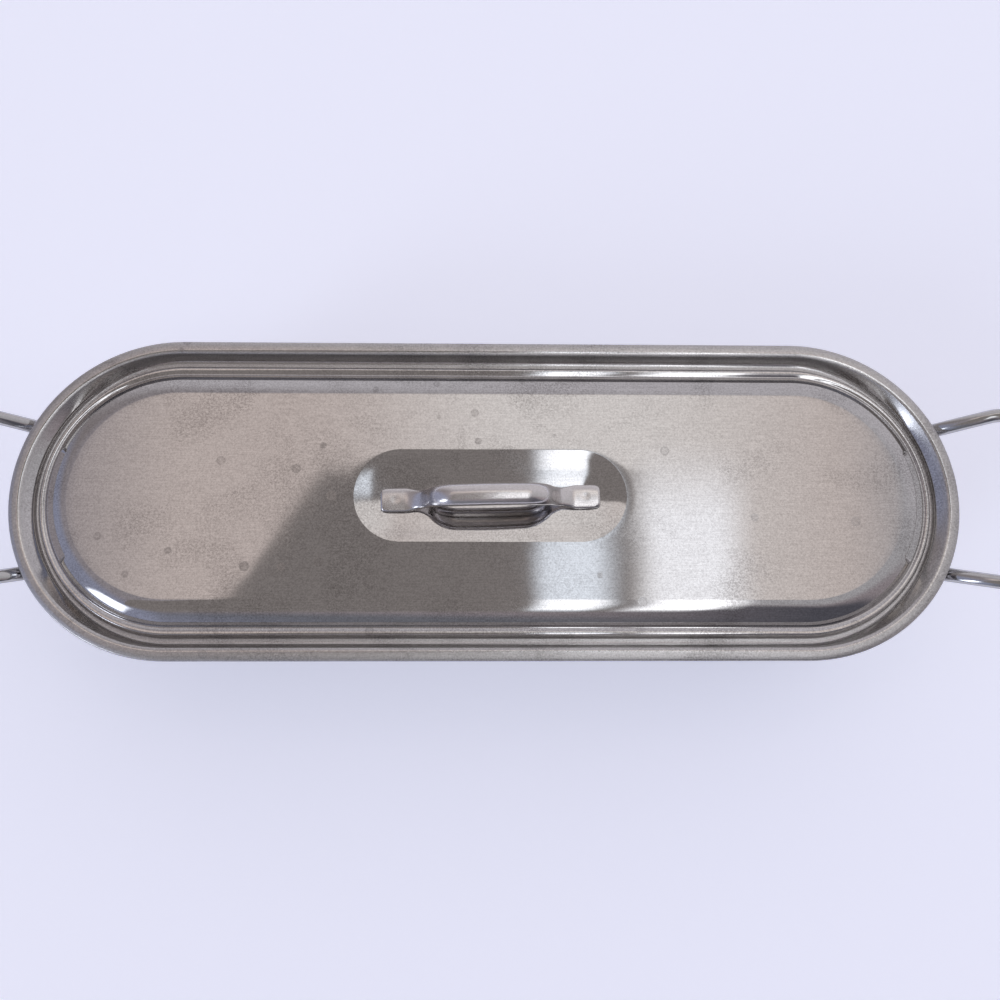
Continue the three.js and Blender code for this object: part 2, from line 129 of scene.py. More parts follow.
# %% Rounded lines
def rounded_line(corners, radii, steps):
    """Points and unit directions along a line with rounded corners. A corner that turns by
    an angle t gets an arc of radius R, which starts R times tan(t / 2) before the corner.
    On the arc the point is the start plus R sin(a) forwards plus R (1 - cos(a)) sideways."""
    corners = np.asarray(corners, float)
    ahead = np.diff(corners, axis=0)
    ahead /= np.linalg.norm(ahead, axis=1)[:, None]
    points, directions = [corners[:1]], [ahead[:1]]
    for k, radius in enumerate(radii):
        into, out, corner = ahead[k], ahead[k + 1], corners[k + 1]
        turn = math.acos(np.clip(into @ out, -1, 1))
        side = out - (into @ out) * into
        side /= max(np.linalg.norm(side), 1e-12)
        count = steps[k] if np.ndim(steps) else steps
        a = np.linspace(0, turn, count + 1)[:, None]
        start = corner - radius * math.tan(turn / 2) * into
        points.append(start + radius * np.sin(a) * into + radius * (1 - np.cos(a)) * side)
        directions.append(np.cos(a) * into + np.sin(a) * side)
    points.append(corners[-1:])
    directions.append(ahead[-1:])
    return np.concatenate(points), np.concatenate(directions)


def sheet_section(points, directions, thickness):
    """The closed section of a sheet whose upper face is the given line, with distance from
    the middle and height as its columns: the line itself, a half circle over its outer
    edge, and the line back again, moved square to itself by the thickness."""
    down = np.stack([directions[:, 1], -directions[:, 0]], 1)
    lower = points + thickness * down
    a = np.linspace(0, math.pi, 7)[1:-1, None]
    middle = points[-1] + thickness / 2 * down[-1]
    edge = middle + thickness / 2 * (np.sin(a) * directions[-1] - np.cos(a) * down[-1])
    return np.concatenate([points, edge, lower[::-1]])


print("helpers: rounded_line, sheet_section")

# %% [markdown]
# ## The outline that everything follows
# Seen from above, lid, pan and rack are all the same figure: a straight run with a half
# circle at each end. A place on it is named by its run, from -1 at the left centre to 1 at
# the right centre, and by its angle. Extra places lie where the lid's end pockets begin.

# %% Outline
LID_HALF_WIDTH = 85.75
END_X = 250 - LID_HALF_WIDTH
POCKET_MIDDLE, POCKET_HALF, POCKET_FADE = -4.2, 26.6, 2.6


def outline_places(arc_steps, straight_steps, pockets=False):
    """Run and angle in degrees of each place round the outline, starting at the front of
    the right end. On an end's arc the angle goes evenly through 180 degrees. On a straight
    the run goes evenly from one end to the other."""
    arc = np.linspace(-90, 90, arc_steps + 1)
    if pockets:
        for side in (-1, 1):
            edge = POCKET_MIDDLE + side * POCKET_HALF
            arc = np.concatenate([arc, edge + np.linspace(-4, 4, 21)])
        arc = np.unique(np.round(arc, 4))
    run = np.linspace(1, -1, straight_steps + 1)[1:-1]
    ends = np.ones(len(arc))
    runs = np.concatenate([ends, run, -ends, -run])
    angles = np.concatenate([arc, np.full(len(run), 90.0), arc + 180, np.full(len(run), 270.0)])
    if pockets:
        left = slice(len(arc) + len(run), 2 * len(arc) + len(run))
        angles[left] = 180 - arc[::-1]
    return runs, angles


def carry_round(places, r, z, half=END_X, shift=0.0):
    """Grid of points of a section carried round the outline. For a section point at
    distance r from the centre line and height z, x is the shift plus the run times the half
    length plus r cos(angle), and y is r sin(angle)."""
    runs, angles = places[0][None, :], np.radians(places[1])[None, :]
    r, z, half, shift = (np.asarray(a, float) for a in (r, z, half, shift))
    r, z, half, shift = (a[:, None] if a.ndim == 1 else a for a in (r, z, half, shift))
    x = shift + runs * half + r * np.cos(angles)
    y = r * np.sin(angles)
    return np.stack([x, y, np.broadcast_to(z, x.shape)], -1)


print("straight run, half length in mm:", END_X)

# %% [markdown]
# ## Lid
# The real lid is one disc of 0.9 mm sheet drawn in a press. Its section, from the middle
# outwards, is a shallow dish, a flat top, a wide shoulder, a ledge, a valley that drops inside
# the pan, and a flat-topped edge over the pan's rim. I write this section as a line with
# rounded corners, because the radius of each corner is what sets how wide its highlight is.
# From its edge the dish falls by 0.88 mm over 8 mm, and then by 4.2 degrees to its middle.

# %% Lid section
SHEET = 0.9
RIM_Z = 98.1
BEAD = 3.15
TOP = 5.2
DISH_HALF, DISH_R, DISH_X = 46.9, 24.7, 0.8
DISH_EDGE_WIDTH, DISH_EDGE_DROP = 8.0, 0.88
DISH_FLAT_R, DISH_TILT = 3.58, math.radians(4.2)
SHOULDER_INSET, SHOULDER_R, SHOULDER_TURN = 31, 16.1, 52
LID_STEPS = [8, 6, 3, 5, 5, 6, 6, 6, 6, 7, 6, 6, 7, 5, 6, 7, 5, 7]
FLAT_RINGS, DISH_RINGS, BASE_RINGS = 22, 6, 5


def lid_section(is_pocket, is_end):
    """Section of the lid as points and directions in millimetres: distance from the centre
    line and height above the centre of the pan's rim. The shoulder is an arc of 16.1 mm that
    turns down by 52 degrees. Five corners stand for it, and the one at angle a lies at
    R sin(a) / cos(5.2) and R cos(a) / cos(5.2) from the arc's centre. At a pocket the last
    three of them make a step instead. At the ends, by is_end, the ridge is narrower and the
    wall above the valley leans more."""
    inset = lambda d, h: (LID_HALF_WIDTH - d, h)
    edge = (DISH_R - DISH_EDGE_WIDTH, TOP - DISH_EDGE_DROP)
    floor = edge[1] - (edge[0] - DISH_FLAT_R) * math.tan(DISH_TILT)
    half_turn = math.radians(SHOULDER_TURN / 10)
    far = SHOULDER_R / math.cos(half_turn)
    turns = half_turn * np.arange(1, 10, 2)
    arc_z = TOP - SHOULDER_R
    arc = [inset(SHOULDER_INSET - far * math.sin(a), arc_z + far * math.cos(a)) for a in turns]
    if is_pocket:
        arc[2:] = [inset(23.3, 3.4), inset(22.9, -0.6), inset(18.7, -0.8)]
    corners = [
        (0, floor),
        (DISH_FLAT_R, floor),
        edge,
        (DISH_R, TOP),
        *arc,
        inset(17.5, -2.0),
        inset(15.6 + 0.4 * is_end, -1.11),
        inset(13.55 + 0.95 * is_end, -1.11),
        inset(12.25 + 0.95 * is_end, -5.5),
        inset(9.55 + 1.6 * is_end, -5.5),
        inset(8.35 + 2.6 * is_end, -4.7 + 2.9 * is_end),
        inset(6.9 - 0.3 * is_end, 2.5),
        inset(5.5, 3.15),
        inset(2.4, 3.15),
        inset(0, 2.5),
        inset(0, -0.95),
    ]
    step = [1.0, 0.6, 1.0] if is_pocket else [SHOULDER_R] * 3
    ridge, valley = (2.5, 1.2) if is_end else (5.5, 3.0)
    inner = [60, 200, 2.5, SHOULDER_R, SHOULDER_R, *step]
    outer = [0.9, ridge, 1.0, 0.9, valley, 0.8, 1.0, 3.8, 4.0, 1.2]
    return rounded_line(corners, inner + outer, LID_STEPS)


def with_flat_rings(points, directions, before, count):
    """The section with more points on a straight stretch, evenly spaced, before one point."""
    w = np.linspace(0, 1, count + 2)[1:-1, None]
    more = points[before - 1] * (1 - w) + points[before] * w
    points = np.insert(points, before, more, axis=0)
    same = np.repeat(directions[before][None], count, 0)
    return points, np.insert(directions, before, same, axis=0)


lid_lines = [lid_section(False, 0), lid_section(False, 1), lid_section(True, 1)]
# A corner with n steps has n + 1 points, and one point lies before the first corner.
dish_start, flat_start = 1 + LID_STEPS[0] + 1, 1 + sum(LID_STEPS[:3]) + 3
lid_lines = [with_flat_rings(*line, flat_start, FLAT_RINGS) for line in lid_lines]
lid_lines = [with_flat_rings(*line, dish_start, DISH_RINGS) for line in lid_lines]
print("points on the lid's upper line:", len(lid_lines[0][0]))

# %% [markdown]
# ## Carrying the section round
# The section is carried round the outline once, as one grid of points. On the way it changes
# from the shape of the long sides to that of the ends, and at each end into the pocket that
# the rack's handle lies under. Its inner part follows the smaller outline of the dish.

# %% Lid grid
lid_places = outline_places(arc_steps=84, straight_steps=16, pockets=True)
side, plain, pocket = (sheet_section(*line, SHEET) for line in lid_lines)
angles = lid_places[1]
turn = (angles + 90) % 360 - 90
end_angle = np.where(turn > 90, 180 - turn, turn)
share = np.clip((POCKET_HALF - np.abs(end_angle - POCKET_MIDDLE)) / POCKET_FADE + 0.5, 0, 1)
share = share**2 * (3 - 2 * share)
to_end = 1 - np.sin(np.radians(angles)) ** 4
lid_grid = side[:, None] * (1 - to_end)[:, None] + plain[:, None] * to_end[:, None]
lid_grid = lid_grid * (1 - share)[:, None] + pocket[:, None] * share[:, None]
lid_r, lid_z = lid_grid[..., 0], lid_grid[..., 1]
print("places round the lid:", len(angles))

# %% [markdown]
# ## The lid's surface
# A pressing is never perfect: it has small dents at a pocket's ends and slow waves in its
# flat top. Rim, wall and valley stay matt, because the polishing belt doesn't reach them.

# %% Lid
DENT_PLACE, DENT_DEPTH, DENT_WIDTH = 65.4, 0.55, 1.25
WAVE_HEIGHT = 0.022
WALL_INSET, VALLEY_INSET, LEDGE_INSET = 5.2, 9.3, 13.6


def spread(r):
    """How far a section point has left the dish's outline for the lid's: 0 up to the
    dish's edge and 1 from the shoulder on, rising evenly with the distance between."""
    start, full = DISH_R + 0.5, LID_HALF_WIDTH - SHOULDER_INSET - 0.5
    return np.clip((r - start) / (full - start), 0, 1)


def band(inset, start, end, fade=0.8):
    """1 between two distances from the lid's edge and 0 outside, fading evenly just inside."""
    return np.clip((inset - start) / fade, 0, 1) * np.clip((end - inset) / fade, 0, 1)


def press_marks(points):
    """Height that the press and use added: a shallow round dent at both ends of each
    pocket, as a bell curve of the distance from its middle, and slow waves on the flat top,
    as products of sines that fade out towards the shoulder and the dish."""
    x, y = points[..., 0], points[..., 1]
    marks = np.zeros(x.shape)
    for end in (-1, 1):
        for angle in (POCKET_MIDDLE - POCKET_HALF, POCKET_MIDDLE + POCKET_HALF):
            a = math.radians(angle)
            dent_x = end * (END_X + DENT_PLACE * math.cos(a))
            far = np.hypot(x - dent_x, y - DENT_PLACE * math.sin(a))
            marks -= DENT_DEPTH * np.exp(-((far / DENT_WIDTH) ** 2))
    edge = np.hypot(np.maximum(np.abs(x) - END_X, 0), y)
    dish = np.hypot(np.maximum(np.abs(x - DISH_X) - DISH_HALF, 0), y)
    flat = np.clip((54.5 - edge) / 10, 0, 1) * np.clip((dish - 25) / 6, 0, 1)
    waves = np.sin(x / 23 + y / 41) * np.sin(y / 17 + 1.0) + 0.6 * np.sin(x / 47 - y / 29 + 2.0)
    return marks + WAVE_HEIGHT * flat * waves


s = spread(lid_r)
lid_points = carry_round(
    lid_places, lid_r, lid_z + RIM_Z, DISH_HALF * (1 - s) + END_X * s, DISH_X * (1 - s)
)
lid_points[..., 2] += press_marks(lid_points)
inset = LID_HALF_WIDTH - lid_r
rim_share = band(inset, -1, WALL_INSET) * (lid_z > 1.5)
wall_share = band(inset, WALL_INSET, VALLEY_INSET + 0.1)
valley_share = band(inset, VALLEY_INSET, LEDGE_INSET) * (lid_z < -3)
lid_matte = np.maximum(rim_share + wall_share, valley_share)
grid_piece("lid", lid_points, "lid", "lid_steel", ["lid_shell"], lid_matte)

# %% [markdown]
# ## Pan
# The pan is a much deeper drawing of the same sheet. Its rim is rolled outwards into a small
# curl, which stiffens it and takes away the sharp edge. The base stands on a flat ring, and
# its middle is stepped up so that the pan doesn't rock when the metal grows in the heat.

# %% Pan
PAN_BEAD = 1.9
DRAFT = math.radians(2.5)
RIM_R = LID_HALF_WIDTH - BEAD - PAN_BEAD
CORNER = 12.0
CORNER_R = RIM_R - (RIM_Z - SHEET - CORNER) * math.tan(DRAFT)
FOOT_RING, BASE_STEP = 8.2, 0.8


def pan_section():
    """Section of the pan: the stepped base, an arc of 12 mm up into the wall, the wall
    leaning out by 2.5 degrees, and a curl of 1.9 mm radius that turns through 275 degrees."""
    step = CORNER_R - CORNER - FOOT_RING
    foot = CORNER_R - CORNER * math.tan(DRAFT)
    corners = [
        (0, SHEET + BASE_STEP),
        (step - 1.8, SHEET + BASE_STEP),
        (step, SHEET),
        (foot, SHEET),
        (RIM_R, RIM_Z),
    ]
    points, directions = rounded_line(corners, [2.5, 2.5, CORNER], [6, 6, 16])
    a = np.radians(np.linspace(180, -95, 30))[1:, None]
    centre = np.array([RIM_R + PAN_BEAD, RIM_Z])
    curl = centre + PAN_BEAD * np.concatenate([np.cos(a), np.sin(a)], 1)
    directions = np.concatenate([directions, np.concatenate([np.sin(a), -np.cos(a)], 1)])
    return np.concatenate([points, curl]), directions


pan_line = with_flat_rings(*pan_section(), 1, BASE_RINGS)
pan_loop = sheet_section(*pan_line, SHEET)
pan_places = outline_places(arc_steps=84, straight_steps=16)
pan_points = carry_round(pan_places, pan_loop[:, 0], pan_loop[:, 1])
grid_piece("pan", pan_points, "pan", "pan_steel", ["pan_body"])

# %% [markdown]
# ## Sweeping a section along a line
# Rods, wires, straps and clips are all a small section drawn along a path that lies in one
# plane. The section may change on the way, which shapes the ends and the strap's pads.

# %% Sweep
ROD_POINTS = 28


def sweep(path, directions, across, sections):
    """Grid of points of a section drawn along a flat path. At each point of the path the
    section's first number goes along the fixed vector across, and its second along the
    vector square to both across and the direction of the path."""
    across = np.asarray(across, float) / np.linalg.norm(across)
    up = np.cross(directions, across)
    up /= np.linalg.norm(up, axis=1)[:, None]
    sections = np.broadcast_to(sections, (len(path), *np.shape(sections)[-2:]))
    return path[:, None] + sections[..., :1] * across + sections[..., 1:] * up[:, None]


def capped(path, directions, sections, round_off):
    """Path and sections with rounded-over ends: at each end the section shrinks by a
    quarter circle of the given radius and then to a point."""
    size = np.abs(sections).max()
    a = np.radians([0, 30, 60, 90])
    shrink = np.append(1 - round_off * (1 - np.cos(a)) / size, 0)
    step = np.append(round_off * (np.sin(a) - 1), 0)
    sections = np.broadcast_to(sections, (len(path), *np.shape(sections)[-2:]))
    head = path[0] - step[::-1, None] * directions[0]
    tail = path[-1] + step[:, None] * directions[-1]
    path = np.concatenate([head, path[1:-1], tail])
    directions = directions.repeat([5] + [1] * (len(directions) - 2) + [5], axis=0)
    first = sections[:1] * shrink[::-1, None, None]
    last = sections[-1:] * shrink[:, None, None]
    return path, directions, np.concatenate([first, sections[1:-1], last])


def circle(radius, count=ROD_POINTS):
    """A round section."""
    a = np.linspace(0, 2 * math.pi, count, endpoint=False)
    return radius * np.stack([np.cos(a), np.sin(a)], 1)


def strip(width, thickness):
    """Section of a flat strip with rounded edges: a half circle at each side."""
    a = np.radians(np.linspace(-90, 90, 7))
    right = np.stack([width / 2 - thickness / 2 * (1 - np.cos(a)), thickness / 2 * np.sin(a)], 1)
    return np.concatenate([right, -right])


def turned(centre, radii, heights, count):
    """A profile turned round an upright axis: each of its radii and heights is a ring."""
    rings = np.asarray(centre) + radii[:, None, None] * circle(1.0, count)
    heights = np.broadcast_to(heights[:, None, None], (len(heights), count, 1))
    return np.concatenate([rings, heights], 2)


def tube_piece(name, path, directions, across, sections, body, slot, stands_for, ends):
    """A swept piece with closed ends, rounded over by the given radius."""
    path, directions, sections = capped(path, directions, sections, ends)
    grid_piece(name, sweep(path, directions, across, sections), body, slot, stands_for)


print("helpers: sweep, capped, circle, strip, turned, tube_piece")

# %% [markdown]
# ## Pan handles
# Each pan handle is a 7.5 mm rod, bent into a loop that rises by 15 degrees so that a hand
# clears the lid. Its two ends are welded to a plate that follows the end wall. A weld leaves
# a small hollow-sided collar, which I build by sliding points along the rod to the plate.

# %% Pan handles
ROD_R = 3.75
ROD_Z, ROD_Y = 89.2, 38.2
SPREAD, RISE = math.radians(11.5), math.radians(15)
GRIP_BEND, BEND_START_X = 24.0, 271
PLATE_Z, PLATE_HALF_HEIGHT, PLATE_THICK = 84.0, 12.0, 1.2
GAP = 0.3
COLLAR, SUNK = 1.7, 0.1


def wall_outside(z):
    """Radius of the end wall's outer face at height z."""
    return RIM_R + SHEET / math.cos(DRAFT) - (RIM_Z - z) * math.tan(DRAFT)


def slide_to_plate(points, direction, end, lift):
    """Each point moved along a direction until it lies at a height over the plate's outer
    face, by eight steps of: add the missing radius, divided by how fast it grows."""
    points = np.array(points, float)
    for _ in range(8):
        x = points[:, 0] - end * END_X
        r = np.hypot(x, points[:, 1])
        missing = wall_outside(points[:, 2]) + GAP + PLATE_THICK + lift - r
        growth = (x * direction[0] + points[:, 1] * direction[1]) / r
        points += (missing / growth)[:, None] * direction
    return points


def handle_line(end):
    """Centre line of the loop, which lies in one plane: the height grows with x."""
    start_x = END_X + math.sqrt(wall_outside(ROD_Z) ** 2 - ROD_Y**2)
    grip_x = BEND_START_X + GRIP_BEND * math.tan((math.pi / 2 + SPREAD) / 2) * math.cos(SPREAD)
    place = lambda x, side: (
        end * x,
        side * (ROD_Y + (x - start_x) * math.tan(SPREAD)),
        ROD_Z + (x - start_x) * math.tan(RISE),
    )
    corners = [place(start_x, -1), place(grip_x, -1), place(grip_x, 1), place(start_x, 1)]
    return rounded_line(corners, [GRIP_BEND, GRIP_BEND], 26)


def pan_handle(name, end):
    """The loop with its ends sunk in the plate, and a weld collar round each end."""
    path, directions = handle_line(end)
    across = np.cross(directions[0], directions[-1])
    points = sweep(path, directions, across, circle(ROD_R))
    for which in (0, -1):
        points[which] = slide_to_plate(points[which], directions[which], end, -GAP)
    hubs = points[[0, -1]].mean(axis=1)[:, None].repeat(ROD_POINTS, 1)
    points = np.concatenate([hubs[:1], points, hubs[1:]])
    grid_piece(name, points, "pan", "rod_steel", [name])
    collars, faces = [], []
    for which in (0, -1):
        direction = directions[which]
        ring = sweep(path[[which]], directions[[which]], across, circle(1.0))[0] - path[which]
        t = np.radians(np.linspace(0, 90, 7))
        inner = ROD_R - SUNK
        widths = np.concatenate([inner + COLLAR * (1 - np.cos(t)), [inner + COLLAR, inner]])
        lifts = np.concatenate([COLLAR * (1 - np.sin(t)), [-SUNK, -SUNK]])
        rows = [
            slide_to_plate(path[which] + w * ring, direction, end, lift)
            for w, lift in zip(widths, lifts)
        ]
        offset = sum(len(c) for c in collars)
        collars.append(np.concatenate(rows))
        faces.append(grid_quads(len(rows), ROD_POINTS, wrap_rows=True) + offset)
    points, faces = np.concatenate(collars), np.concatenate(faces).tolist()
    make_piece(f"{name}_welds", points, faces, "pan", "rod_steel")


pan_handle("pan_handle_left", -1)
pan_handle("pan_handle_right", 1)

# %% [markdown]
# ## Handle plates
# A rod welded straight to a thin wall would tear it, so a thicker plate shares out the load.
# It is bent to the wall, and its ends are round, because a sharp corner would crack there.

# %% Handle plates
PLATE_ANGLE, PLATE_ROUND = 36, 7


def handle_plate(name, end):
    """A plate wrapped on the end wall. Its section is a strip on edge, carried through 72
    degrees, and its half height falls off at both ends as a half circle does."""
    angles = np.radians(PLATE_ANGLE * np.sin(np.radians(np.linspace(-90, 90, 73))))
    past = np.abs(angles) - math.radians(PLATE_ANGLE - PLATE_ROUND)
    past = np.clip(past / math.radians(PLATE_ROUND), 0, 1)
    high = PLATE_HALF_HEIGHT * np.sqrt(np.maximum(1 - past**2, 0))
    a = np.radians(np.linspace(0, 180, 9))
    edge = np.stack([PLATE_THICK / 2 * (1 + np.cos(a)), PLATE_THICK / 2 * np.sin(a)], 1)
    z = np.concatenate([edge[:, 1] - PLATE_THICK / 2, -edge[::-1, 1] + PLATE_THICK / 2])
    sign = np.repeat([1.0, -1.0], len(a))
    out = np.concatenate([edge[:, 0], edge[::-1, 0]])
    room = np.maximum(high[:, None] + sign * z, 0) * sign
    heights = PLATE_Z + room
    r = wall_outside(heights) + GAP + out
    x = end * (END_X + r * np.cos(angles)[:, None])
    points = np.stack([x, r * np.sin(angles)[:, None], heights], -1)
    cap = points.mean(axis=1, keepdims=True)[[0, -1]].repeat(points.shape[1], 1)
    points = np.concatenate([cap[:1], points, cap[1:]])
    grid_piece(name, points, "pan", "plate_steel", [name])


handle_plate("pan_handle_plate_left", -1)
handle_plate("pan_handle_plate_right", 1)

# %% [markdown]
# ## Lid handle
# The grip is a strap pressed into a shallow trough, upside down, so that it is light, stiff
# and smooth to hold. It is flattened at its two pads, which are spot-welded in the dish.
# The section is an arch that changes along the path: flat and wide at the pads, round on top.

# %% Lid handle
HANDLE_Y = -1.75
HANDLE_SKEW = math.radians(1.25)
SEAT, GRIP = RIM_Z + 6.5, RIM_Z + 26.5
GRIP_LEAN, GRIP_CROWN = -2.35, 1.4
STRAP, ARCH_POINTS = 1.0, 19
STRAP_END, PAD_END, NECK_TOP = 57.2, 36.5, 28
WELD_X, WELD_Y, DIMPLE_DEPTH, DIMPLE_R = 49.5, 1.1, 0.16, 2.0


def arch(half_width, height, lip, power):
    """Section of the strap: an arch from lip to lip. At the share sin(a) of the half width it
    has risen by the height times cos(a) to a power, which is low for a flat top and near 1
    for a round one. The inner line is the same arch, smaller by the strap's thickness."""
    a = np.radians(np.linspace(-90, 90, ARCH_POINTS))
    rise = np.cos(a) ** power
    outer_line = np.stack([half_width * np.sin(a), height * rise - lip], 1)
    inner_line = np.stack([(half_width - STRAP) * np.sin(a), (height - STRAP) * rise - lip], 1)
    return np.concatenate([outer_line, inner_line[::-1]])


def lid_handle():
    """The strap's path, with its pads at y = 0 and its grip leaning to the front, turned by
    the small skew and moved to its place afterwards. Each pad gets the dimple of its weld."""
    corners = [
        (-STRAP_END, 0, SEAT),
        (-PAD_END, 0, SEAT),
        (-NECK_TOP, GRIP_LEAN, GRIP),
        (0, GRIP_LEAN, GRIP + GRIP_CROWN),
        (NECK_TOP, GRIP_LEAN, GRIP),
        (PAD_END, 0, SEAT),
        (STRAP_END, 0, SEAT),
    ]
    path, directions = rounded_line(corners, [13, 16, 200, 16, 13], [14, 16, 10, 16, 14])
    extra = np.linspace(0, 1, 12)[1:-1, None]
    pads = [p * (1 - extra) + q * extra for p, q in (path[:2], path[-2:])]
    path = np.concatenate([path[:1], pads[0], path[1:-1], pads[1], path[-1:]])
    directions = directions.repeat([11] + [1] * (len(directions) - 2) + [11], axis=0)
    rise = np.clip((path[:, 2] - SEAT) / (GRIP - SEAT), 0, 1)
    rise = rise**2 * (3 - 2 * rise)
    to_end = np.clip((STRAP_END - np.abs(path[:, 0])) / 5, 0, 1)
    wide = np.clip((np.abs(path[:, 0]) - 37) / 8, 0, 1)
    half = 4.8 + 1.5 * wide**2 * (3 - 2 * wide) + 0.9 * rise
    half *= 0.78 + 0.22 * np.sqrt(1 - (1 - to_end) ** 2)
    sections = np.stack(
        [arch(h, 2.2 + 2.1 * k, 1.9 + 1.3 * k, 0.45 + 0.45 * k) for h, k in zip(half, rise)]
    )
    points = sweep(path, directions, (0, 1, 0), sections)
    c, s = math.cos(HANDLE_SKEW), math.sin(HANDLE_SKEW)
    x, y = points[..., 0] * c - points[..., 1] * s, points[..., 0] * s + points[..., 1] * c
    points = np.stack([x + DISH_X, y + HANDLE_Y, points[..., 2]], -1)
    top = points[:, :ARCH_POINTS]
    for end in (-1, 1):
        weld_x, weld_y = top[..., 0] - DISH_X - end * WELD_X, top[..., 1] - HANDLE_Y - end * WELD_Y
        dimple = DIMPLE_DEPTH * np.exp(-((np.hypot(weld_x, weld_y) / DIMPLE_R) ** 4))
        top[..., 2] -= dimple * (top[..., 2] < SEAT + 3)
    count = points.shape[1]
    quads = grid_quads(*points.shape[:2]).tolist()
    last = (len(points) - 1) * count
    for j in range(ARCH_POINTS - 1):
        quads.append([j, j + 1, count - 2 - j, count - 1 - j])
        quads.append([last + j, last + count - 1 - j, last + count - 2 - j, last + j + 1])
    points = points.reshape(-1, 3)
    make_piece("lid_handle_strap", points, quads, "lid", "strap_steel", ["lid_handle"])


lid_handle()

# %% [markdown]
# ## Rack
# The rack is a perforated plate with its edge turned down, which keeps the fish above the
# bottom. Its flat top is filled in with triangles between the outline and the holes. Each
# hole has a narrow flat ring and then a rounded edge, so that the top still shades flat.

# %% Rack plate
RACK_R, RACK_TOP, RACK_FOOT, RACK_CORNER = 71.5, 15.4, 3.3, 4.0
HOLE_R, HOLE_PITCH, HOLE_ROW = 4.5, 28.0, 20.0
HOLE_RING, HOLE_POINTS, HOLE_MARGIN = 0.7, 24, 7
PIVOT_X, LOOP_HALF, CLIP_Y = 200.0, 38.0, 26.0
CLIP_HALF, CLIP_WIDTH, FITTINGS_HALF = 12.5, 12, 12


def hole_centres():
    """Centres of the drain holes: five rows 20 mm apart, every other row moved by half a
    pitch, without those near the outline or under the clips."""
    centres = []
    for row in range(5):
        y = (row - 2) * HOLE_ROW
        x = (row % 2) * HOLE_PITCH / 2 + HOLE_PITCH * np.arange(-9, 10)
        inside = np.hypot(np.maximum(np.abs(x) - END_X, 0), y) < RACK_R - RACK_CORNER - HOLE_MARGIN
        off_x = np.abs(np.abs(x) - PIVOT_X) > CLIP_HALF + HOLE_R + 2
        off_y = abs(abs(y) - (CLIP_Y + LOOP_HALF) / 2) > FITTINGS_HALF + HOLE_R
        centres += [(a, y) for a in x[inside & (off_x | off_y)]]
    return np.array(centres)


def rack_plate():
    """The flat triangles, twice, with the hole edges and the turned-down rim between."""
    places = outline_places(arc_steps=60, straight_steps=24)
    flat_r = RACK_R - RACK_CORNER - 0.6
    corners = [(flat_r, RACK_TOP), (RACK_R, RACK_TOP), (RACK_R, RACK_FOOT + SHEET / 2)]
    line, directions = rounded_line(corners, [RACK_CORNER], 10)
    rim = carry_round(places, *sheet_section(line, directions, SHEET).T)
    centres = hole_centres()
    outer = rim[0, :, :2]
    rings = centres[:, None] + circle(HOLE_R + HOLE_RING, HOLE_POINTS)
    flat = np.concatenate([outer, rings.reshape(-1, 2)])
    starts = len(outer) + HOLE_POINTS * np.arange(len(centres))
    loops = [list(range(len(outer)))] + [list(range(n, n + HOLE_POINTS)) for n in starts.tolist()]
    edges = [(a, b) for loop in loops for a, b in zip(loop, loop[1:] + loop[:1])]
    found = delaunay_2d_cdt(flat.tolist(), edges, [], 0, 1e-7)
    xy = np.array([tuple(v) for v in found[0]])
    triangles = np.array(found[2])
    middle = xy[triangles].mean(axis=1)
    near = np.linalg.norm(middle[:, None] - centres[None], axis=2).min(axis=1)
    edge = np.hypot(np.maximum(np.abs(middle[:, 0]) - END_X, 0), middle[:, 1])
    triangles = triangles[(near > HOLE_R + HOLE_RING - 0.05) & (edge < flat_r)]
    points, faces = [], []

    def add(block, quads):
        offset = sum(len(p) for p in points)
        points.append(block.reshape(-1, 3))
        faces.extend((np.asarray(quads) + offset).tolist())

    for z in (RACK_TOP, RACK_TOP - SHEET):
        add(np.concatenate([xy, np.full((len(xy), 1), z)], 1), triangles)
    add(rim, grid_quads(*rim.shape[:2]))
    a = np.radians(np.linspace(90, -90, 7))
    ring_r = [HOLE_R + HOLE_RING]
    r = np.concatenate([ring_r, HOLE_R + SHEET / 2 * (1 - np.cos(a)), ring_r])
    z = np.concatenate([[SHEET / 2], SHEET / 2 * np.sin(a), [-SHEET / 2]]) + RACK_TOP - SHEET / 2
    for centre in centres:
        add(turned(centre, r, z, HOLE_POINTS), grid_quads(len(z), HOLE_POINTS))
    make_piece("rack", np.concatenate(points), faces, "rack", "rack_steel", ["rack_plate"])


rack_plate()

# %% [markdown]
# ## Rack handles, clips, stops and rivets
# Each rack handle is a 5 mm wire loop that turns in two clips and rests against two stops.
# Clips and stops are strips bent over a tool, so they are swept like the rods. A rivet is
# turned, so its profile goes round an axis.

# %% Rack fittings
WIRE_R = 2.5
PIVOT_Z = RACK_TOP + GAP + WIRE_R
LEAN = math.radians(4)
WIRE_END_Y, LOOP_HEIGHT = 17, 69
STOP_HEIGHT, STOP_FOOT, STOP_WIDTH = 9, 10, 9
STRIP_LOW = RACK_TOP + GAP + SHEET / 2
RIVET_OUT, RIVET_SEAT, RIVET_TAIL = 8.6, 1.5, -1.2
DOME_R, SHANK_R, TAIL_R = 2.7, 1.4, 2.3


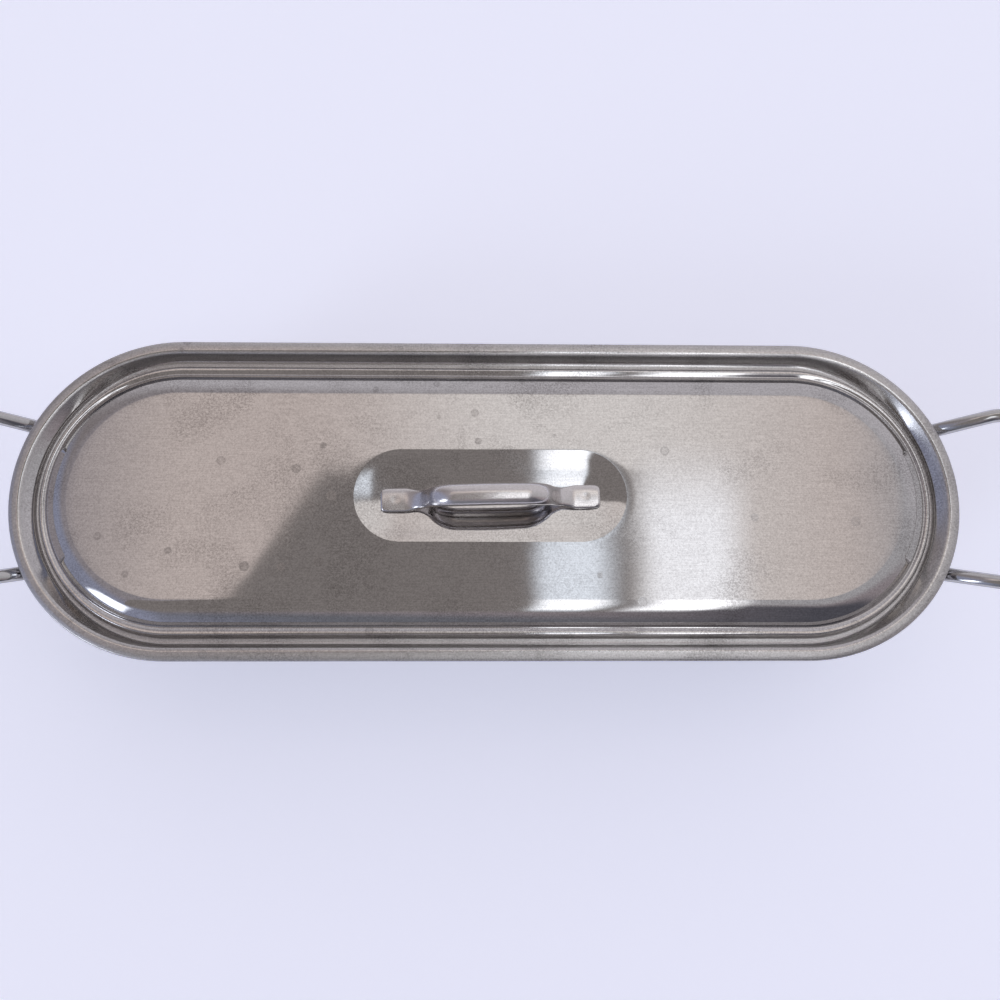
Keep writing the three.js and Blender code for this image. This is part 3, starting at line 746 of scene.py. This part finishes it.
def rack_handle(name, end):
    """A loop of wire in a plane that leans out by 4 degrees from the pivot."""
    lean = np.array([end * math.sin(LEAN), 0, math.cos(LEAN)])
    pivot = np.array([end * PIVOT_X, 0, PIVOT_Z])
    half = [(WIRE_END_Y, 0), (LOOP_HALF, 0), (LOOP_HALF, LOOP_HEIGHT)]
    flat = [(-y, up) for y, up in half] + half[::-1]
    corners = [pivot + np.array([0, y, 0]) + up * lean for y, up in flat]
    path, directions = rounded_line(corners, [6, 16, 16, 6], 14)
    body = "rack_bail_left" if end < 0 else "rack_bail_right"
    across = np.cross((0, 1, 0), lean)
    section = circle(WIRE_R, 20)
    tube_piece(f"{name}_wire", path, directions, across, section, body, "wire_steel", [name], 0.8)


def bent_strip(name, corners, radii, steps, width, stands_for):
    """A strip of sheet bent along corners that lie in one upright plane."""
    path, directions = rounded_line(corners, radii, steps)
    section = strip(width, SHEET)
    tube_piece(name, path, directions, (0, 1, 0), section, "rack", "clip_steel", [stands_for], 0.3)


def clip(name, x, y):
    """A strip bent like the letter omega over the wire: two flat feet and a half circle."""
    inner = WIRE_R + GAP + SHEET / 2
    high = PIVOT_Z + inner
    half = [(CLIP_HALF, STRIP_LOW), (inner, STRIP_LOW), (inner, high)]
    corners = [(x - out, y, z) for out, z in half] + [(x + out, y, z) for out, z in half[::-1]]
    radii = [0.8, inner - 0.01, inner - 0.01, 0.8]
    bent_strip(f"{name}_strap", corners, radii, 10, CLIP_WIDTH, name)


def stop(name, end, side):
    """An angle: a foot on the rack and a lug behind the wire, joined by a small bend."""
    lean_out = (STOP_HEIGHT + RACK_TOP - PIVOT_Z) * math.tan(LEAN)
    face = WIRE_R / math.cos(LEAN) + lean_out + GAP + SHEET / 2
    lug_x, foot_x = end * (PIVOT_X + face), end * (PIVOT_X + face - SHEET / 2 + STOP_FOOT)
    y = side * LOOP_HALF
    corners = [(lug_x, y, RACK_TOP + STOP_HEIGHT), (lug_x, y, STRIP_LOW), (foot_x, y, STRIP_LOW)]
    bent_strip(f"{name}_angle", corners, [1.1], 8, STOP_WIDTH, name)


def rivet(name, x, y):
    """A turned profile: a dome above the clip, a shank, and a flatter dome below the rack."""
    a = np.radians(np.linspace(90, 0, 7))
    b = a[::-1][1:]
    r = np.concatenate([DOME_R * np.cos(a), [SHANK_R, SHANK_R, TAIL_R], TAIL_R * np.cos(b)])
    dome, tail = RIVET_SEAT + 1.5 * np.sin(a), RIVET_TAIL - np.sin(b)
    z = np.concatenate([dome, [RIVET_SEAT, RIVET_TAIL, RIVET_TAIL], tail])
    points = turned((x, y), r, RACK_TOP + z, 20)
    grid_piece(f"{name}_dome", points, "rack", "rivet_steel", [name])


for end, where in ((-1, "left"), (1, "right")):
    rack_handle(f"rack_handle_{where}", end)
    for side, depth in ((-1, "front"), (1, "rear")):
        clip(f"rack_clip_{where}_{depth}", end * PIVOT_X, side * CLIP_Y)
        stop(f"rack_stop_{where}_{depth}", end, side)
        for sign, name in ((1, "outer"), (-1, "inner")):
            x = end * (PIVOT_X + sign * RIVET_OUT)
            rivet(f"rack_rivet_{where}_{depth}_{name}", x, side * CLIP_Y)

# %% [markdown]
# ## Materials
# Everything is 18/10 stainless steel: sheet with a fine brushed finish, and drawn rod and
# wire with a smoother one. A metal has no colour of its own under the surface, so what the
# eye reads is the roughness, the brush lines and the marks that water and washing leave.
# These go into colour, roughness and a very small bump.

# %% Material helpers
MULTIPLY = {"operation": "MULTIPLY"}
MULTIPLY_ADD = {"operation": "MULTIPLY_ADD"}


def linear(code):
    """A colour written as sRGB hex, turned to the linear values that Blender works in: each
    part is divided by 12.92 where it is below 0.04045, and is otherwise ((c + 0.055) / 1.055)
    to the power 2.4."""
    parts = [int(code[i : i + 2], 16) / 255 for i in (1, 3, 5)]
    return [p / 12.92 if p <= 0.04045 else ((p + 0.055) / 1.055) ** 2.4 for p in parts] + [1.0]


def add_node(tree, kind, settings=None, inputs=None):
    """Adds a node, sets its properties, and gives each named or numbered input a value or a
    link."""
    node = tree.nodes.new(kind)
    for key, value in (settings or {}).items():
        setattr(node, key, value)
    for key, value in (inputs or {}).items():
        if isinstance(value, bpy.types.NodeSocket):
            tree.links.new(value, node.inputs[key])
        else:
            node.inputs[key].default_value = value
    return node


def new_material(name):
    """An empty node material with its shader, output and object coordinates."""
    material = bpy.data.materials.new(name)
    material.use_nodes = True
    tree = material.node_tree
    tree.nodes.clear()
    shader = add_node(tree, "ShaderNodeBsdfPrincipled", None, {"Metallic": 1.0})
    add_node(tree, "ShaderNodeOutputMaterial", None, {"Surface": shader.outputs[0]})
    where = add_node(tree, "ShaderNodeTexCoord").outputs["Object"]
    return material, tree, shader, where


print("helpers: linear, add_node, new_material")

# %% [markdown]
# ## What makes steel look like steel
# Four patterns are laid over each other. The brush lines are noise that is squeezed in one
# direction. The flecks are fine noise, which stands for grit and pores. The dull patches are
# slow noise, where hands and cloths have been. The dried drops are rings round the points of
# a Voronoi pattern, and only about half of the points have one.

# %% Steel
def steel(name, colour, worn, rough, grain, depth, dull, spots, matte=0.0):
    """Stainless steel. grain gives the brush lines per metre along x, y and z, so a small
    number makes a line long in that direction. depth is the bump of the lines in metres.
    dull and matte say how much rougher the dull patches are, and the places that the piece
    marks as matt. spots is how far the dried drops darken."""
    material, tree, shader, where = new_material(name)
    squeezed = add_node(tree, "ShaderNodeMapping", None, {"Vector": where, "Scale": grain})
    noises = [
        {"Vector": squeezed.outputs[0], "Scale": 1.0, "Detail": 3.0, "Roughness": 0.65},
        {"Vector": where, "Scale": 1100.0, "Detail": 4.0, "Roughness": 0.8},
        {"Vector": where, "Scale": 15.0, "Detail": 6.0, "Roughness": 0.6, "Distortion": 0.8},
    ]
    lines, flecks, patches = (
        add_node(tree, "ShaderNodeTexNoise", None, inputs).outputs["Fac"] for inputs in noises
    )
    drops = add_node(tree, "ShaderNodeTexVoronoi", None, {"Vector": where, "Scale": 50.0})
    far = drops.outputs["Distance"]
    low, high = rough * 0.8, rough * 1.2
    ranges = [
        {"Value": patches, "From Min": 0.48, "From Max": 0.66},
        {"Value": lines, "From Min": 0.3, "From Max": 0.7, "To Max": 0.3},
        {"Value": flecks, "From Min": 0.38, "From Max": 0.66, "To Max": 0.6},
        {"Value": lines, "From Min": 0.3, "From Max": 0.7, "To Min": low, "To Max": high},
        {"Value": far, "From Min": 0.07, "From Max": 0.11, "To Min": 0.5},
        {"Value": far, "From Min": 0.14, "From Max": 0.11},
    ]
    dull_share, shade, pits, roughness, inner, outer = (
        add_node(tree, "ShaderNodeMapRange", None, inputs).outputs[0] for inputs in ranges
    )

    # A dried drop is a dull spot of about 2 mm radius with a darker ring at its edge.
    chance = add_node(tree, "ShaderNodeSeparateColor", None, {0: drops.outputs["Color"]})
    limit = {0: chance.outputs[0], 1: 0.45}
    chosen = add_node(tree, "ShaderNodeMath", {"operation": "GREATER_THAN"}, limit).outputs[0]
    ring = inner
    for factor in (outer, chosen):
        ring = add_node(tree, "ShaderNodeMath", MULTIPLY, {0: ring, 1: factor}).outputs[0]

    # Colour: lines and flecks shift it a little from the clean metal to the worn one, and
    # the flecks count double on dull patches.
    doubled = {0: pits, 1: dull_share, 2: pits}
    pits = add_node(tree, "ShaderNodeMath", MULTIPLY_ADD, doubled).outputs[0]
    shade = add_node(tree, "ShaderNodeMath", {"operation": "ADD"}, {0: pits, 1: shade}).outputs[0]
    clamped = {"operation": "MULTIPLY_ADD", "use_clamp": True}
    shade = add_node(tree, "ShaderNodeMath", clamped, {0: ring, 1: spots, 2: shade})
    colours = {0: shade.outputs[0], 6: linear(colour), 7: linear(worn)}
    mix = add_node(tree, "ShaderNodeMix", {"data_type": "RGBA"}, colours)
    tree.links.new(mix.outputs[2], shader.inputs["Base Color"])

    # Roughness: more on dull patches, on dried drops and where the piece is matt.
    matte_share = add_node(tree, "ShaderNodeAttribute", {"attribute_name": "matte"}).outputs["Fac"]
    for share, most in ((dull_share, dull), (ring, 0.1), (matte_share, matte)):
        rougher = {0: share, 1: most, 2: roughness}
        roughness = add_node(tree, "ShaderNodeMath", MULTIPLY_ADD, rougher).outputs[0]
    tree.links.new(roughness, shader.inputs["Roughness"])

    # Bump: the lines, and a little of the flecks.
    height = add_node(tree, "ShaderNodeMath", MULTIPLY_ADD, {0: flecks, 1: 0.1, 2: lines})
    relief = {"Strength": 1.0, "Distance": depth, "Height": height.outputs[0]}
    bump = add_node(tree, "ShaderNodeBump", None, relief)
    tree.links.new(bump.outputs[0], shader.inputs["Normal"])
    return material


print("helper: steel")

# %% [markdown]
# ## The finishes
# Polished with a fine belt, the steel is almost a mirror, with a roughness below 0.1. Its
# colour is a light grey with hardly any warmth. Brush lines are really about 0.05 mm wide.
# They are drawn 0.4 mm wide, or they would be too fine for the picture.

# %% Materials
FINE, COARSE = (60, 2400, 2400), (80, 2200, 2200)
SHORT, ROUND = (90, 1500, 1500), (50, 50, 2600)
METALS = {
    "lid": ("polished_stainless_lid", "#d2d0cf", "#9a9796", 0.045, FINE, 4e-7, 0.045, 0.36, 0.3),
    "pan": ("brushed_stainless_pan", "#c2c0be", "#adaba9", 0.16, ROUND, 2.2e-6, 0.06, 0.3),
    "rod": ("drawn_stainless_rod", "#c6c5c4", "#b4b3b2", 0.1, (300,) * 3, 1.2e-6, 0.03, 0.1),
    "strap": ("polished_stainless_strap", "#dcd8d6", "#c6c2c0", 0.21, SHORT, 1.2e-6, 0.05, 0.2),
    "plate": ("satin_stainless_plate", "#bab8b6", "#a5a3a1", 0.26, COARSE, 3e-6, 0.05, 0.1),
    "rack": ("satin_stainless_rack", "#b8b6b4", "#a3a19f", 0.24, FINE, 3e-6, 0.07, 0.4),
    "wire": ("polished_stainless_wire", "#c8c7c6", "#b8b7b6", 0.1, (400,) * 3, 1.0e-6, 0.03, 0.1),
}
FINISH = {f"{part}_steel": steel(*row) for part, row in METALS.items()}
FINISH |= {"clip_steel": FINISH["plate_steel"], "rivet_steel": FINISH["wire_steel"]}
slots = {part["node"]: part["material_slot"] for part in frame["record"]["subparts"]}
for piece in bpy.context.scene.objects:
    if piece.type == "MESH":
        slot_name = piece.get("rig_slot") or slots[piece.name]
        piece.data.materials.clear()
        piece.data.materials.append(FINISH[slot_name])
print("finishes:", sorted(set(m.name for m in FINISH.values())))

# %% [markdown]
# ## Camera
# The photograph was taken from in front of the pan and well above it, 13 degrees off
# straight down. The lens and the place were found from the lid's outline, whose real shape
# is known, and are written as a turn and a move from the lid's centre to the camera.

# %% Camera
camera = bpy.data.objects.new("camera", bpy.data.cameras.new("camera"))
bpy.context.scene.collection.objects.link(camera)
camera.data.sensor_width = 36
camera.data.lens = 36.0
turned = (
    Matrix.Rotation(math.radians(-0.16), 3, "Z")
    @ Matrix.Rotation(math.radians(1.32), 3, "Y")
    @ Matrix.Rotation(math.radians(-13.02), 3, "X")
)
from_lid = Vector((-5.8, 1.8, -526.4)) * MM
lid_middle = Vector((0, 0, 100.1 * MM))
place = lid_middle - turned.transposed() @ from_lid
camera.matrix_world = Matrix.Translation(place) @ turned.transposed().to_4x4()
camera.data.clip_start, camera.data.clip_end = 0.01, 100
bpy.context.scene.camera = camera
print("camera at", [round(v, 4) for v in camera.matrix_world.translation])

# %% [markdown]
# ## Floor
# The pan stands on a large sheet of white paper, 0.3 mm below zero.

# %% Floor
FLOOR_HALF, FLOOR_Z = 4.0, -0.0003
corners = [(x * FLOOR_HALF, y * FLOOR_HALF, 0) for x, y in ((-1, -1), (1, -1), (1, 1), (-1, 1))]
floor_mesh = bpy.data.meshes.new("floor")
floor_mesh.from_pydata(corners, [], [(0, 1, 2, 3)])
floor = bpy.data.objects.new("floor", floor_mesh)
floor.location.z = FLOOR_Z
bpy.context.scene.collection.objects.link(floor)
print("floor, width in m:", 2 * FLOOR_HALF)

# %% [markdown]
# ## Paper
# The sky is made for the steel and lights the paper too little, so it glows a bit for the
# camera and in mirror images.

# %% Paper
GLOW = 0.4
paper, tree, shader, where = new_material("white_paper_floor")
shader.inputs["Metallic"].default_value = 0.0
shader.inputs["Base Color"].default_value = linear("#ececf6")
shader.inputs["Roughness"].default_value = 0.7
rays = add_node(tree, "ShaderNodeLightPath")
seen = rays.outputs["Is Camera Ray"]
for kind in ("Is Glossy Ray", "Is Transmission Ray"):
    either = {0: seen, 1: rays.outputs[kind]}
    seen = add_node(tree, "ShaderNodeMath", {"operation": "MAXIMUM"}, either).outputs[0]
glow = add_node(tree, "ShaderNodeMath", MULTIPLY, {0: seen, 1: GLOW})
tree.links.new(glow.outputs[0], shader.inputs["Emission Strength"])
shader.inputs["Emission Color"].default_value = linear("#e2e6f9")
floor_mesh.materials.append(paper)
print("material:", paper.name)

# %% [markdown]
# ## The sky
# A plain sky would make steel look like plaster, because a mirror needs something to show. So
# the sky has soft grey shapes: a pale ceiling overhead, darker walls, a grey board above the
# front, two lamps and one bright window. The walls are placed by the direction itself. The
# ceiling and the lamps are placed by its tangents, x over z and y over z, because on the flat
# lid these run evenly with the place that shows them.

# %% Sky
LOWEST = 0.02
world = bpy.data.worlds.new("studio")
bpy.context.scene.world = world
world.use_nodes = True
sky = world.node_tree
sky.nodes.clear()
direction = add_node(sky, "ShaderNodeTexCoord").outputs["Generated"]
parts = add_node(sky, "ShaderNodeSeparateXYZ", None, {0: direction}).outputs
above = {0: parts[2], 1: LOWEST}
height = add_node(sky, "ShaderNodeMath", {"operation": "MAXIMUM"}, above).outputs[0]
upright = add_node(sky, "ShaderNodeCombineXYZ", None, {0: height, 1: height, 2: height}).outputs[0]
ratio = {0: direction, 1: upright}
tangents = add_node(sky, "ShaderNodeVectorMath", {"operation": "DIVIDE"}, ratio).outputs[0]
print("sky nodes:", len(sky.nodes))

# %% [markdown]
# ## Shapes in the sky
# Each row is a shape with its colour, strength and edges. An edge is two numbers that x and y
# are weighed with, and the two sums between which the shape fades in. A shape is where all
# its edges are passed, and it lies over the shapes before it.

# %% Shapes in the sky
WALLS = [
    ("right wall", "#c7c6cb", 1.0, [(1, 0, -0.5, 0.5)]),
    ("rear left corner", "#9d9699", 1.0, [(-0.5, 0.87, 0.35, 0.8)]),
    ("rear right corner", "#dbd8df", 1.0, [(0.4, 0.92, 0.2, 0.75)]),
    ("front wall", "#aaa1a7", 1.0, [(0, -1, 0.1, 0.4)]),
    ("front left wall", "#83858f", 1.0, [(-0.5, -0.87, 0.55, 0.85)]),
    ("front right corner", "#62626c", 1.0, [(1, 0, 0.0, 0.36), (-0.5, -0.87, 0.0, 0.2)]),
    ("front left corner", "#a6abc4", 1.0, [(-0.92, -0.38, 0.45, 0.75)]),
]
CEILING_DEPTH = [(0, 1, 0.08, 0.12), (0, 1, 0.55, 0.38)]
BRIGHT_DEPTH = [(0, 1, 0.125, 0.08), (0, 1, -0.7, -0.5)]
LAMP_FRONT = (0, 1, -0.9, -0.5)
LAMP_WIDTH = [(1, 0, 0.05, 0.075), (1, 0, 0.155, 0.115)]
WIDE_WIDTH = [(1, 0, 0.15, 0.19), (1, 0, 0.29, 0.24)]
BOARD_WIDTH = [(1, -0.66, -0.335, -0.328), (1, 0, 0.2, 0.14)]
WINDOW_WIDTH = [(-0.78, 0.63, 0.0, 0.25), (0.45, -0.89, 0.0, 0.25)]
CEILING = [
    ("ceiling", "#ecdfdb", 1.0, [(1, 0, -0.5, -0.28), (1, 0, 0.48, 0.36), *CEILING_DEPTH]),
    ("pale part", "#fffbfa", 1.12, [(1, 0, -0.2, 0.08), (1, 0, 0.45, 0.15), *CEILING_DEPTH]),
    ("board", "#989291", 1.0, [*BOARD_WIDTH, (0, 1, 0.266, 0.262), (0, 1, -1, -0.6)]),
    ("lamp", "#ecf4ff", 1.55, [*LAMP_WIDTH, (0, 1, 0.28, 0.2), LAMP_FRONT]),
    ("wide lamp", "#f4f6fc", 1.7, [*WIDE_WIDTH, (0, 1, 0.3, 0.2), LAMP_FRONT]),
    ("bright lamp", "#f8faff", 2.5, [(1, 0, 0.05, 0.09), (1, 0, 0.145, 0.11), *BRIGHT_DEPTH]),
    ("bright wide lamp", "#f8faff", 2.5, [(1, 0, 0.17, 0.2), (1, 0, 0.28, 0.25), *BRIGHT_DEPTH]),
    ("window", "#e8f0ff", 5.0, [(-0.78, -0.63, 1.1, 1.5), *WINDOW_WIDTH, (-0.78, -0.63, 6, 2)]),
]
SMOOTH = {"interpolation_type": "SMOOTHSTEP"}
colour = linear("#aba5ac")
for place, shapes in ((direction, WALLS), (tangents, CEILING)):
    for title, code, strength, edges in shapes:
        mask = 1.0
        for weigh_x, weigh_y, start, full in edges:
            weighed = {0: place, 1: (weigh_x, weigh_y, 0)}
            total = add_node(sky, "ShaderNodeVectorMath", {"operation": "DOT_PRODUCT"}, weighed)
            fade_inputs = {"Value": total.outputs["Value"], "From Min": start, "From Max": full}
            fade = add_node(sky, "ShaderNodeMapRange", SMOOTH, fade_inputs).outputs[0]
            mask = add_node(sky, "ShaderNodeMath", MULTIPLY, {0: fade, 1: mask}).outputs[0]
        lit = [part * strength for part in linear(code)[:3]] + [1.0]
        layers = {0: mask, 6: colour, 7: lit}
        layer = add_node(sky, "ShaderNodeMix", {"data_type": "RGBA", "label": title}, layers)
        colour = layer.outputs[2]
print("shapes in the sky:", len(WALLS) + len(CEILING))

# %% [markdown]
# ## Backdrop
# The camera itself sees plain white behind the floor. What the steel mirrors is the sky.

# %% Backdrop
light, backdrop = (
    add_node(sky, "ShaderNodeBackground", None, {"Color": shown, "Strength": 1.0}).outputs[0]
    for shown in (colour, linear("#e9ebf6"))
)
is_camera = add_node(sky, "ShaderNodeLightPath").outputs["Is Camera Ray"]
either = {0: is_camera, 1: light, 2: backdrop}
chosen = add_node(sky, "ShaderNodeMixShader", None, either).outputs[0]
add_node(sky, "ShaderNodeOutputWorld", None, {"Surface": chosen})
bpy.context.scene.view_settings.view_transform = "Standard"
print("sky nodes:", len(sky.nodes))
